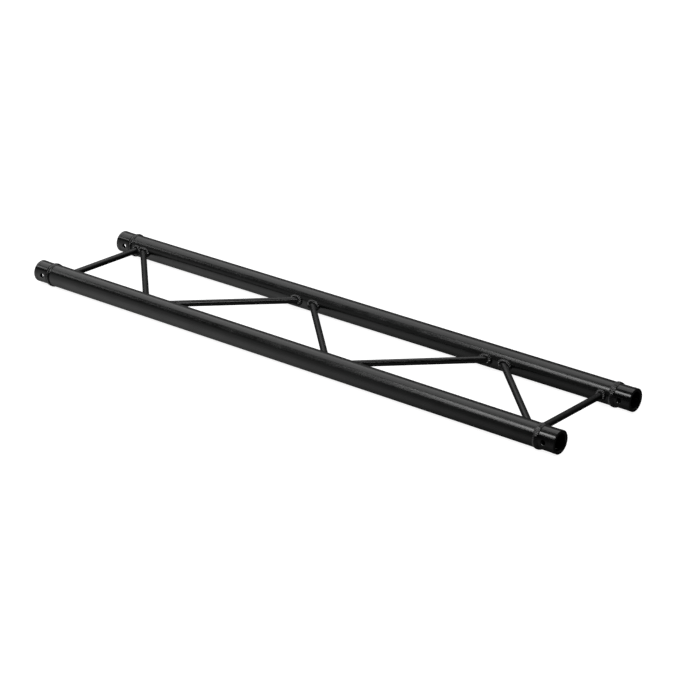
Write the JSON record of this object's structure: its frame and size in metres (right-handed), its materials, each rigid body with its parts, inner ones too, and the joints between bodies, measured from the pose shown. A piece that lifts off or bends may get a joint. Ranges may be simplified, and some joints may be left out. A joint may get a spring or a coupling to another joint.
{
  "type": "lighting truss section",
  "caption": "Straight ladder truss section: parallel chord tubes joined by zigzag and square-end braces, with pinned cone-coupler sockets at the tube ends, all black.",
  "frame": {"origin": "middle of the section, midway between the two chord axes and in the plane of both", "axes": "+X along the chords, towards the end where the last diagonal meets the front chord; +Y from the front chord to the rear chord; +Z square to the plane of the ladder"},
  "size_m": [1, 0.2226, 0.0376],
  "materials": {
    "tube_coating": "satin black powder coat on drawn aluminium tube",
    "brace_coating": "satin black powder coat on small aluminium tube",
    "socket_coating": "smoother, glossier black coat on turned aluminium",
    "weld_coating": "the same black coat over rippled weld beads"
  },
  "bodies": {
    "root": {"chord_tube_front": "tube_coating", "chord_tube_rear": "tube_coating", "coupler_socket_front_left": "socket_coating", "coupler_socket_front_right": "socket_coating", "coupler_socket_rear_left": "socket_coating", "coupler_socket_rear_right": "socket_coating", "weld_ring_front_left": "weld_coating", "weld_ring_front_right": "weld_coating", "weld_ring_rear_left": "weld_coating", "weld_ring_rear_right": "weld_coating", "end_brace_left": "brace_coating", "diagonal_brace_1": "brace_coating", "diagonal_brace_2": "brace_coating", "diagonal_brace_3": "brace_coating", "diagonal_brace_4": "brace_coating", "diagonal_brace_5": "brace_coating", "end_brace_right": "brace_coating", "weld_end_left_front": "weld_coating", "weld_end_left_rear": "weld_coating", "weld_diagonal_1_front": "weld_coating", "weld_diagonal_1_rear": "weld_coating", "weld_diagonal_2_front": "weld_coating", "weld_diagonal_2_rear": "weld_coating", "weld_diagonal_3_front": "weld_coating", "weld_diagonal_3_rear": "weld_coating", "weld_diagonal_4_front": "weld_coating", "weld_diagonal_4_rear": "weld_coating", "weld_diagonal_5_front": "weld_coating", "weld_diagonal_5_rear": "weld_coating", "weld_end_right_front": "weld_coating", "weld_end_right_rear": "weld_coating"}
  },
  "joints": []
}
